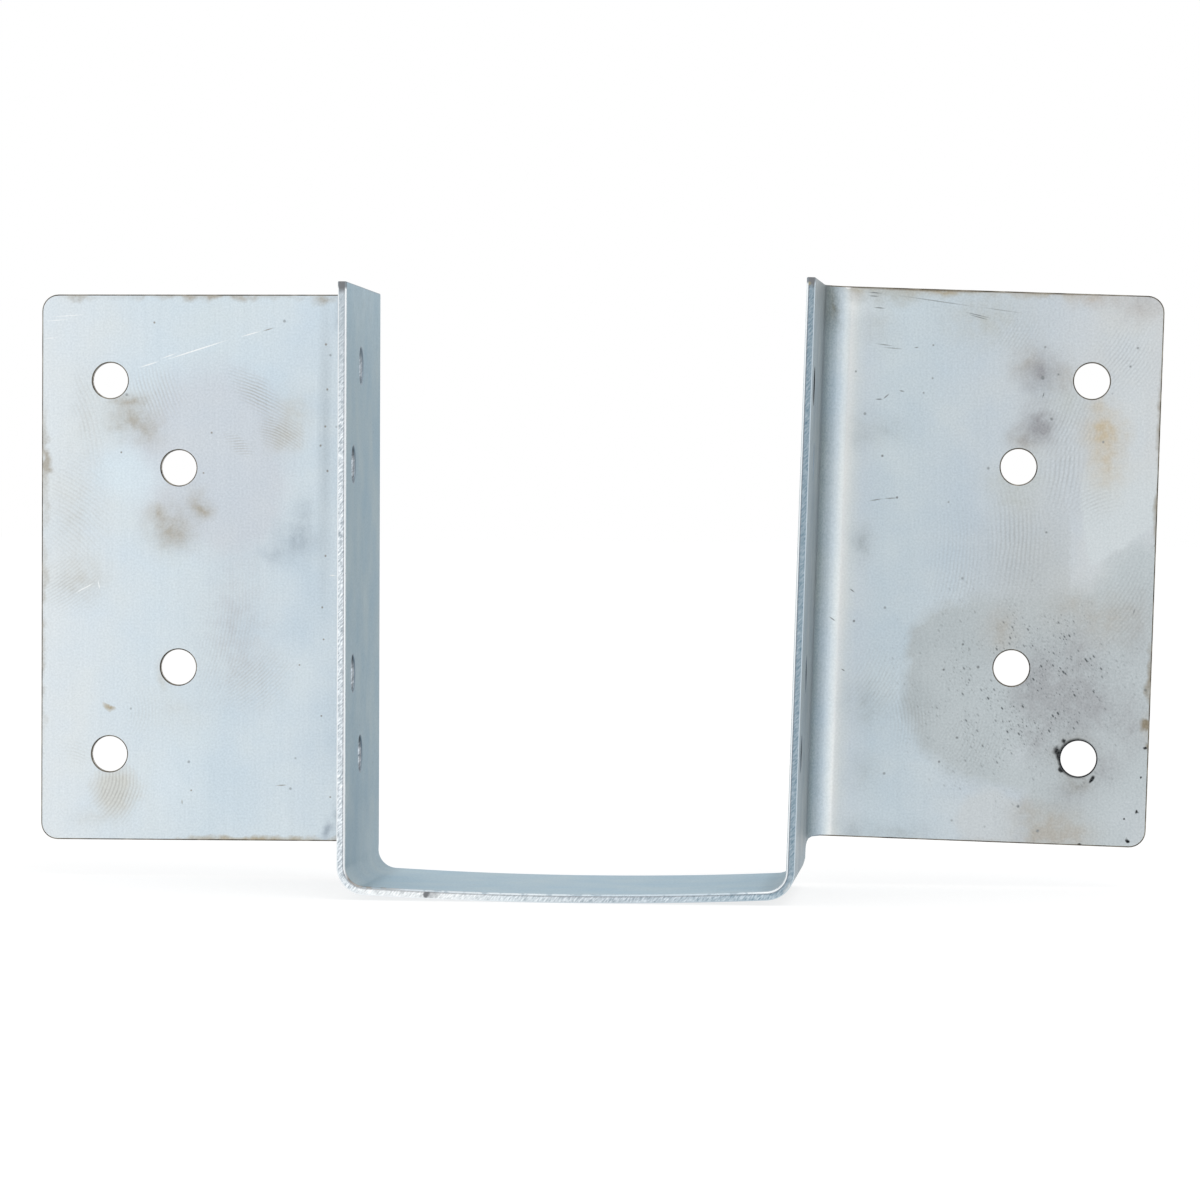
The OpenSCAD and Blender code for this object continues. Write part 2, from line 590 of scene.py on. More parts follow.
    def mark_sheet(self, piece: bpy.types.Object) -> None:
        """Stores where each point lies in the sheet, as it was before it was folded.

        The attribute fold is the way along the sheet from the start of the flange bend, in metres:
        below 0 on the walls and the seat, then along the bend's middle line and outwards over the
        flange. The attribute depth is the way into the sheet from the pocket's side, in metres.

        Args:
            piece: The finished sheet.
        """
        bend_r, thick = (self.flange_bend_r + self.sheet_t) * MM, self.sheet_t * MM
        seat_r, corner_r = self.seat_r * MM, self.seat_bend_r * MM
        cheeks = (self.left, self.right)
        homes = [self.placed(cheek).inverted() for cheek in cheeks]
        folds, depths = [], []
        for vert in piece.data.vertices:
            side = vert.co.x > 0
            own = homes[side] @ vert.co
            above = own.z - self.wall_start(cheeks[side]) * MM
            back, out = own.y - self.rear_y * MM, own.x - bend_r
            fold, depth = back, own.x
            if back > 0:
                turned = math.atan2(back, -out) if out < 0 else math.pi / 2
                fold = (bend_r - thick / 2) * turned + max(out, 0)
                depth = bend_r - (math.hypot(back, out) if out < 0 else back)
            elif above < 0 and own.x > -corner_r:
                depth = math.hypot(own.x + corner_r, above) - corner_r
            elif above < 0:
                depth = math.hypot(vert.co.x, vert.co.z - thick - seat_r) - seat_r
            folds.append(fold)
            depths.append(depth)
        for name, values in (("fold", folds), ("depth", depths)):
            piece.data.attributes.new(name, "FLOAT", "POINT").data.foreach_set("value", values)


class Edge(Enum):
    """How a mark ends: thinning out in blots, on a ragged outline or on a clear one."""

    BLOTCHY = "blotchy"
    RAGGED = "ragged"
    CLEAR = "clear"


class Run(Enum):
    """What the sheet's tints follow, which give its colour with painted highlight and painted shade: the way
    along the fold or the way out from the middle.
    """

    FOLD = "fold"
    ACROSS = "across"


@dataclass(frozen=True)
class Spot:
    """An oval mark on the sheet as seen from the front, in millimetres.

    Attributes:
        x: Place of its middle to the right of the pocket's middle.
        z: Height of its middle.
        wide: Half its length.
        tall: Half its breadth.
        depth: How strongly it shows in its middle. Above 1 the middle is even and the edge narrow.
        turn: Turn of its length upwards from level, in degrees.
    """

    x: float
    z: float
    wide: float
    tall: float
    depth: float = 1.0
    turn: float = 0.0


def specks(radius: float, depth: float, *places: tuple[float, float]) -> tuple[Spot, ...]:
    """Returns round spots of one size and depth, each given by its x and z."""
    return tuple(Spot(x, z, radius, radius, depth) for x, z in places)


@dataclass(frozen=True)
class Layer:
    """A colour that lies over what is below it in a finish.

    Attributes:
        share: How much of it shows, from 0 to 1.
        over: The colour.
        blend: How it blends with what is below.
    """

    share: Socket | float
    over: Socket | Colour
    blend: str = "MIX"


class Ground:
    """A finish in the making: a metal shader, the points that patterns are read at, and its nodes."""

    def __init__(self, name: str, roughness: float) -> None:
        """Makes the material and its shared nodes.

        Args:
            name: Name of the material.
            roughness: Roughness of the shader where no pattern changes it.
        """
        self.material = bpy.data.materials.new(name)
        self.material.use_nodes = True
        self.tree = self.material.node_tree
        self.add = partial(add_node, self.tree)
        self.shader = self.tree.nodes["Principled BSDF"]
        self.shader.inputs["Metallic"].default_value = 1.0
        self.shader.inputs["Roughness"].default_value = roughness
        self.place = self.add("TexCoord", out="Object")
        # Blots run out up to about 1 mm in lobes 4 mm wide, and their film is uneven every 2.5 mm
        wander = self.add("TexNoise", inputs=self.sized(4, Detail=3.0), out="Color")
        swing = 4.2 * MM
        sway = (wander, (swing,) * 3, (-swing / 2,) * 3)
        swayed = self.add("VectorMath", *sway, operation="MULTIPLY_ADD")
        self.ragged = self.add("VectorMath", self.place, swayed, operation="ADD")
        uneven = self.add("TexNoise", inputs=self.sized(2.5, Detail=4.0))
        self.mottle = self.add("MapRange", uneven, NOISE_LOW, NOISE_HIGH, 0.6, 1.3)

    def sized(self, size: float, **inputs: float) -> dict[str, Socket | float]:
        """Returns the inputs of a pattern whose features are this many millimetres wide."""
        return {"Vector": self.place, "Scale": 1 / (size * MM), **inputs}

    def strokes(self, turn: float, size: Triple, detail: float) -> Socket:
        """Adds noise that is drawn out and turned.

        Args:
            turn: Its turn upwards from level, in degrees.
            size: Its features' size along x, y and z before the turn, in millimetres.
            detail: Its detail.

        Returns:
            The noise.
        """
        move = ((0, 0, 0), (0, -math.radians(turn), 0), Vector(size) * MM)
        drawn = self.add("Mapping", self.place, *move, vector_type="TEXTURE")
        return self.add("TexNoise", inputs={"Vector": drawn, "Scale": 1.0, "Detail": detail})

    def tinted(self, along: Socket, tints: Tints, shift: float = 0.0) -> Socket:
        """Adds tints that follow a way over the sheet.

        Args:
            along: The way, in metres.
            tints: Places along it in millimetres, with sRGB hex colours.
            shift: How much further along the tints lie, in millimetres.

        Returns:
            The colour.
        """
        first, last = tints[0][0], tints[-1][0]
        level = self.add("MapRange", along, (first + shift) * MM, (last + shift) * MM)
        stops = [((at - first) / (last - first), tint) for at, tint in tints]
        return self.add("ValToRGB", level, stops=stops)

    def inside(self, spot: Spot, edge: Edge) -> Socket:
        """Adds how far inside an oval the point lies.

        Args:
            spot: The oval.
            edge: How it ends.

        Returns:
            1 in the middle, 0 on the outline and beyond.
        """
        point = self.place if edge is Edge.CLEAR else self.ragged
        shape = "QUADRATIC_SPHERE" if edge is Edge.BLOTCHY else "SPHERICAL"
        middle, turn = (spot.x * MM, 0, spot.z * MM), (0, -math.radians(spot.turn), 0)
        # The oval runs right through the sheet
        size = Vector((spot.wide, 1e6, spot.tall)) * MM
        oval = self.add("Mapping", point, middle, turn, size, vector_type="TEXTURE")
        return self.add("TexGradient", oval, out="Fac", gradient_type=shape)

    def cover(self, spots: tuple[Spot, ...], edge: Edge) -> Socket | float:
        """Adds up how strongly some ovals show.

        Args:
            spots: The ovals.
            edge: How they end.

        Returns:
            The sum, which can pass 1.
        """
        total: Socket | float = 0.0
        for spot in spots:
            total = self.add("Math", self.inside(spot, edge), spot.depth, total, operation="MULTIPLY_ADD")
        return total

    def finish(
        self, colour: Socket | Colour, layers: list[Layer], gloss: Socket, relief: Socket | None = None
    ) -> bpy.types.Material:
        """Lays the layers over a colour and links what was made to the shader.

        Args:
            colour: The lowest colour.
            layers: What lies over it, from below.
            gloss: The roughness.
            relief: The bumped normal, if any.

        Returns:
            The finished material.
        """
        for layer in layers:
            # A mix of colours has them at its inputs 6 and 7 and its output 2
            mixed = {0: layer.share, 6: colour, 7: layer.over}
            colour = self.add("Mix", inputs=mixed, out=2, data_type="RGBA", blend_type=layer.blend)
        for name, value in (("Base Color", colour), ("Roughness", gloss), ("Normal", relief)):
            if value is not None:
                self.tree.links.new(value, self.shader.inputs[name])
        return self.material


@dataclass(frozen=True)
class SoilAndLight:
    """Marks of one colour that lie on the sheet: mostly stains and scratches, in a few places painted light
    and painted glints.

    Attributes:
        tint: sRGB hex colour of the marks.
        edge: How the marks end.
        spots: The marks.
        film: How much the marks hide, up to 1.
        within: Areas that the marks stop at.
    """

    tint: str
    edge: Edge
    spots: tuple[Spot, ...]
    film: float = 1.0
    within: tuple[Spot, ...] = ()

    def layer(self, ground: Ground) -> Layer:
        """Adds the marks to a finish.

        Args:
            ground: The finish in the making.

        Returns:
            The layer that they make.
        """
        total = ground.cover(self.spots, self.edge)
        if self.within:
            total = ground.add("Math", total, 1.0, operation="MINIMUM")
        for spot in self.within:
            reach = ground.inside(spot, self.edge)
            limit = ground.add("Math", reach, spot.depth, operation="MULTIPLY", use_clamp=True)
            total = ground.add("Math", total, limit, operation="MULTIPLY")
        if self.edge is Edge.BLOTCHY:
            total = ground.add("Math", total, ground.mottle, operation="MULTIPLY")
        share = ground.add("MapRange", total, 0.0, 1.0, 0.0, self.film)
        return Layer(share, linear(self.tint))


@dataclass(frozen=True)
class Print:
    """Fine lines that a fingertip or a rubbing glove left in the film on the zinc, in millimetres.

    Attributes:
        patch: Where the lines show.
        hub: The x and z of the middle of their arcs, far off where they run straight.
        pitch: Distance from line to line.
    """

    patch: Spot
    hub: tuple[float, float]
    pitch: float

    def lay(self, ground: Ground) -> Socket:
        """Draws the lines.

        Args:
            ground: The finish in the making.

        Returns:
            How strongly they show, before the patch's depth.
        """
        hub = (self.hub[0] * MM, 0, self.hub[1] * MM)
        inputs = {
            "Vector": ground.add("Mapping", ground.place, hub, vector_type="TEXTURE"),
            # A wave's rings stand 0.314 apart at scale 1
            "Scale": 0.31416 / (self.pitch * MM),
            "Distortion": 3.0,
            "Detail": 2.0,
            "Detail Scale": 0.6,
        }
        rings = ground.add("TexWave", inputs=inputs, out="Fac", wave_type="RINGS", rings_direction="Y")
        thin = ground.add("MapRange", rings, 0.3, 1.0)
        return ground.add("Math", thin, ground.inside(self.patch, Edge.RAGGED), operation="MULTIPLY")


@dataclass(frozen=True)
class ZincCoat:
    """Hot-dip zinc on rolled steel: pale blue-grey, satin, cloudy, with handling marks.

    Attributes:
        name: Name of the material.
        run: What the tints follow.
        tints: Places along the run in millimetres, with sRGB hex colours, for the tints' own height; besides
            the coat's colour they paint a highlight in the flange bends and shade in their creases and on the
            pocket's walls.
        tilt: Shift of the tints back along the run for each millimetre of height.
        tint_height: The tints' own height, in millimetres.
        cloud: Strength of the clouds in the coat.
        cloud_tints: Levels of the clouds, with sRGB hex colours.
        wipe: Strength of the upright streaks that wiping left.
        grain: Strength of the zinc's grain.
        marks_and_light: Marks on the coat, a few of them painted light.
        prints: Finger and glove lines.
        print_tint: sRGB hex colour of those lines.
        pitted: Where the coat is full of small pits.
        pit_tint: sRGB hex colour of pits and specks.
        edge_tint: sRGB hex colour of the reflection at a glancing angle.
        roughness: Middle roughness of the shader.
    """

    name: str
    run: Run
    tints: Tints
    tilt: float = 0.0
    tint_height: float = 75.0
    cloud: float = 0.1
    cloud_tints: Tints = ((0.33, "C3BDB2"), (0.5, "BCBCBC"), (0.67, "B5BCC5"))
    wipe: float = 0.025
    grain: float = 0.11
    marks_and_light: tuple[SoilAndLight, ...] = ()
    prints: tuple[Print, ...] = ()
    print_tint: str = "B4B6B6"
    pitted: tuple[Spot, ...] = ()
    pit_tint: str = "5F6466"
    edge_tint: str = "FFFFFF"
    roughness: float = 0.42

    def make(self) -> bpy.types.Material:
        """Makes the material.

        Returns:
            The material.
        """
        ground = Ground(self.name, self.roughness)
        ground.shader.inputs["Specular Tint"].default_value = linear(self.edge_tint)
        # Clouds of the dipped coat, 16 mm wide, drift between tan and blue
        clouds = ground.add("TexNoise", inputs=ground.sized(16, Detail=3.0, Roughness=0.6))
        drift = ground.add("ValToRGB", clouds, stops=self.cloud_tints)
        # Streaks 0.7 mm wide and 30 mm long
        streaks = ground.strokes(0.0, (0.7, 0.7, 30), 3.0)
        # Zinc grain of 0.2 mm, drawn at 0.5 mm so that it shows
        grain = ground.add("TexNoise", inputs=ground.sized(0.5, Detail=2.0))
        layers = [
            Layer(self.cloud, drift, "LINEAR_LIGHT"),
            *(marking.layer(ground) for marking in self.marks_and_light),
            Layer(self.wipe, streaks, "LINEAR_LIGHT"),
            Layer(self.grain, grain, "LINEAR_LIGHT"),
        ]
        if self.prints:
            layers.append(Layer(self.lines(ground), linear(self.print_tint)))
        pits = self.pits(ground)
        layers.append(Layer(pits, linear(self.pit_tint)))
        smooth, rough = self.roughness - 0.06, self.roughness + 0.08
        gloss = ground.add("MapRange", clouds, NOISE_LOW, NOISE_HIGH, smooth, rough)
        height = ground.add("Math", grain, pits, operation="SUBTRACT")
        relief = ground.add("Bump", inputs={"Strength": 0.2, "Distance": 0.03 * MM, "Height": height})
        return ground.finish(self.base(ground), layers, gloss, relief)

    def base(self, ground: Ground) -> Socket:
        """Adds the coat's colour along its run, with the painted highlight and painted shade that its tints
        hold.

        Args:
            ground: The finish in the making.

        Returns:
            The colour.
        """
        if self.run is Run.FOLD:
            along = ground.add("Attribute", out="Fac", attribute_name="fold")
        else:
            across = ground.add("SeparateXYZ", ground.place, out="X")
            along = ground.add("Math", across, operation="ABSOLUTE")
        height = ground.add("SeparateXYZ", ground.place, out="Z")
        shifted = ground.add("Math", height, self.tilt, along, operation="MULTIPLY_ADD")
        return ground.tinted(shifted, self.tints, self.tint_height * self.tilt)

    def lines(self, ground: Ground) -> Socket:
        """Adds all finger and glove lines.

        Args:
            ground: The finish in the making.

        Returns:
            How strongly they show.
        """
        total: Socket | float = 0.0
        for mark in self.prints:
            total = ground.add("Math", mark.lay(ground), mark.patch.depth, total, operation="MULTIPLY_ADD")
        return ground.add("Math", total, ground.mottle, operation="MULTIPLY")

    def pits(self, ground: Ground) -> Socket:
        """Adds the coat's specks and pits.

        Args:
            ground: The finish in the making.

        Returns:
            How strongly they show.
        """
        # Single specks of 0.4 mm, some 12 mm apart
        few = ground.add("TexVoronoi", inputs=ground.sized(9), out="Distance")
        total = ground.add("MapRange", few, 0.05, 0.025, 0.0, 0.5)
        if not self.pitted:
            return total
        swarms = ground.add("TexNoise", inputs=ground.sized(6, Detail=2.0))
        dense = ground.add("MapRange", swarms, 0.36, 0.62, 0.1, 1.0)
        where = ground.add("Math", ground.cover(self.pitted, Edge.RAGGED), dense, operation="MULTIPLY")
        # Oval pits that fall to the right: large ones some 2 mm apart, small ones, and faint flecks
        for size, width, dark in ((1.0, 0.22, 0.95), (0.55, 0.25, 0.65), (0.33, 0.5, 0.22)):
            move = ((0, 0, 0), (0, math.radians(55), 0), Vector((2.6 * size, 1.6 * size, 1.3 * size)) * MM)
            slant = ground.add("Mapping", ground.place, *move, vector_type="TEXTURE")
            many = ground.add("TexVoronoi", inputs={"Vector": slant, "Scale": 1.0}, out="Distance")
            dots = ground.add("MapRange", many, width, 0.08, 0.0, dark)
            shown = ground.add("Math", dots, where, operation="MULTIPLY", use_clamp=True)
            total = ground.add("Math", shown, total, operation="MAXIMUM")
        return total


LEFT_COAT = ZincCoat(
    name="galvanised_left",
    run=Run.FOLD,
    # Coat colour along the fold, partly painted light: painted shade darkening into the crease at the flange
    # bend, a painted highlight just past the bend, and a flange paler than the right one as painted
    # reflection
    tints=(
        (-70, "B4BFC5"), (-20, "A2AEB4"), (0, "8C979B"), (3.5, "97A4AB"), (6, "B4C1C9"), (9, "D6DFE4"),
        (11.5, "E6EDF0"), (14, "D6E2EA"), (22, "D4E0E8"), (45, "D2DEE5"), (65, "D6E0E6"), (85.6, "DDE4E8"),
    ),
    marks_and_light=(
        # Lilac film with a clear upper edge, tan film and a clean bluish patch
        SoilAndLight("C8CAD2", Edge.RAGGED, (Spot(-92, 101, 23, 25.5, 3), Spot(-84, 88, 12, 16)), film=0.45),
        SoilAndLight("C4C9CF", Edge.BLOTCHY, (Spot(-86, 62, 18, 36, 0.7), Spot(-81, 50, 14, 14, 0.25)), film=0.8),
        SoilAndLight("D9E4EB", Edge.BLOTCHY, (Spot(-101, 23, 15, 17, 0.7),)),
        SoilAndLight("A4AFB7", Edge.BLOTCHY, (Spot(-60, 137, 4, 12, 0.9), Spot(-60, 14, 3.6, 10, 0.7))),
        SoilAndLight("DAE8F0", Edge.RAGGED, (Spot(-111.5, 96.4, 10, 8, 1.6, -10),), film=0.6),
        SoilAndLight("C6C5BE", Edge.BLOTCHY, (
            Spot(-125.7, 87.1, 14, 26, 0.25), Spot(-122, 112, 9, 22, 0.25), Spot(-72, 112.1, 8, 10, 0.6),
            Spot(-74.9, 105.8, 9, 7, 0.6), Spot(-119.3, 13.9, 12, 4.4, 0.3),
            Spot(-103.3, 49.3, 2.8, 7, 0.7), Spot(-123.5, 71, 12, 9, 0.5), Spot(-100, 40, 14, 9, 0.2),
        )),
        # Brown blots of old damp
        SoilAndLight("B4B1A9", Edge.BLOTCHY, (
            Spot(-112.5, 114.3, 8, 3.6, 0.95, 8), Spot(-110.5, 110, 11, 8, 0.75, -30),
            Spot(-107, 107.5, 8, 6, 0.45, -30), Spot(-115, 108.5, 6, 6, 0.45), Spot(-93.6, 88.6, 5, 4, 0.9),
            Spot(-95.6, 91.5, 4.6, 6, 0.55), Spot(-101.8, 84.4, 11, 11, 0.9),
            Spot(-100.5, 81.5, 7, 6, 0.35), Spot(-105.5, 87.8, 3.4, 4, 0.6), Spot(-131.7, 98.9, 2, 4, 1.4),
            Spot(-132.4, 101.1, 1.5, 20), Spot(-132.6, 60, 1.4, 50, 0.8), Spot(-65, 139.3, 5, 2, 1.1),
            Spot(-125.1, 139.6, 7, 1.6, 1.1), Spot(-92.6, 139.9, 36, 1.5, 1.2),
        )),
        SoilAndLight("B3A994", Edge.RAGGED, (Spot(-80, 8.7, 30, 1.6, 1.2), Spot(-116.1, 41.1, 1.9, 0.7, 1.2, -44))),
        # Tan grease of a fingertip
        SoilAndLight("CFC9BA", Edge.RAGGED, (Spot(-115, 20.6, 7, 7.2, 1.8),), film=0.5),
        # Blue-grey rubs beside the wall
        SoilAndLight("AEBAC4", Edge.BLOTCHY, (
            Spot(-71.3, 81.8, 11, 9.5, 0.75), Spot(-69.4, 88.6, 5, 8, 0.45), Spot(-76.5, 77.5, 8, 5, 0.5),
            Spot(-63.2, 11.7, 1.8, 4.2, 1.2),
        )),
        SoilAndLight("B4BFC6", Edge.CLEAR, (Spot(-64.5, 106, 2.2, 50, 0.5),)),
        # Bright and pale scratches
        SoilAndLight("F4F7F8", Edge.CLEAR, (
            Spot(-107.2, 123.3, 2.8, 0.17, 1.6, 18), Spot(-95.6, 126.9, 8.9, 0.2, 1.8, 18),
            Spot(-82.6, 130.8, 2.8, 0.17, 1.6, 16), Spot(-102.4, 125.4, 2.3, 0.16, 1.4, 20),
            Spot(-129.7, 133.8, 3.2, 0.15, 1, 5), Spot(-127, 134.9, 4.9, 0.15, 1, 4),
            Spot(-131.2, 129.5, 1.6, 0.15, 1, 4), Spot(-122.5, 69.3, 2.6, 0.2, 1.8, 29),
            Spot(-119, 70.1, 1.4, 0.17, 1.6, -78), Spot(-62.4, 72.9, 0.9, 0.2, 1.6),
        )),
        # Dark scratches and specks
        SoilAndLight("8F8C86", Edge.CLEAR, (
            Spot(-78.4, 131.9, 1.5, 0.17, 1.2, 16), Spot(-74.3, 22.3, 1.6, 0.17, 1.2, 3),
            Spot(-98.4, 18, 0.7, 0.16, 1.2, -86), Spot(-64.4, 128.4, 0.4, 0.4, 1.3),
            Spot(-64, 117.6, 0.35, 0.4, 1.3), Spot(-64.4, 108.7, 0.35, 0.4, 1.3),
            Spot(-63.8, 98, 0.35, 0.4, 1.3), Spot(-64.8, 65.2, 0.3, 0.35, 1.3),
            *specks(0.35, 1.3, (-106, 133.4), (-91.9, 107), (-65.5, 104.1), (-64.1, 77.6)),
            *specks(0.3, 1.3,
                (-113.8, 102.1), (-93.8, 97.3), (-64.4, 57.5), (-64.8, 39.1), (-62.5, 19.6), (-70.2, 51.3),
                (-96.2, 20.8),
            ),
        )),
    ),
    prints=(
        Print(Spot(-106, 116, 9, 8, 0.4), (-56, 134), 0.9),
        Print(Spot(-122, 110.8, 4, 15, 0.22, 8), (-170, 95), 1.1),
        Print(Spot(-80.5, 115.8, 10, 4.4, 0.75, -42), (-104, 60), 0.75),
        Print(Spot(-75.3, 107, 7, 5, 0.75, -20), (-84, 88), 0.65),
        Print(Spot(-85.3, 104.6, 5, 2.6, 0.6, -30), (-84, 88), 0.65),
        Print(Spot(-124.7, 88.1, 10, 18, 0.22), (-150, 50), 1),
        Print(Spot(-114.7, 20.2, 8, 8, 0.7), (-126.7, 24.9), 0.85),
        Print(Spot(-126.3, 70.2, 9, 9, 0.35), (-155, 110), 0.75),
        Print(Spot(-87, 58, 9, 22, 0.22, -10), (-150, 70), 0.8),
        Print(Spot(-80.5, 48, 11, 9, 0.35), (-110, 80), 0.75),
        Print(Spot(-108, 40, 6, 8, 0.16), (-118, 40), 0.85),
        Print(Spot(-124, 30, 4, 3.4, 0.25), (-126.7, 20), 0.8),
    ),
    print_tint="ABABA7",
)

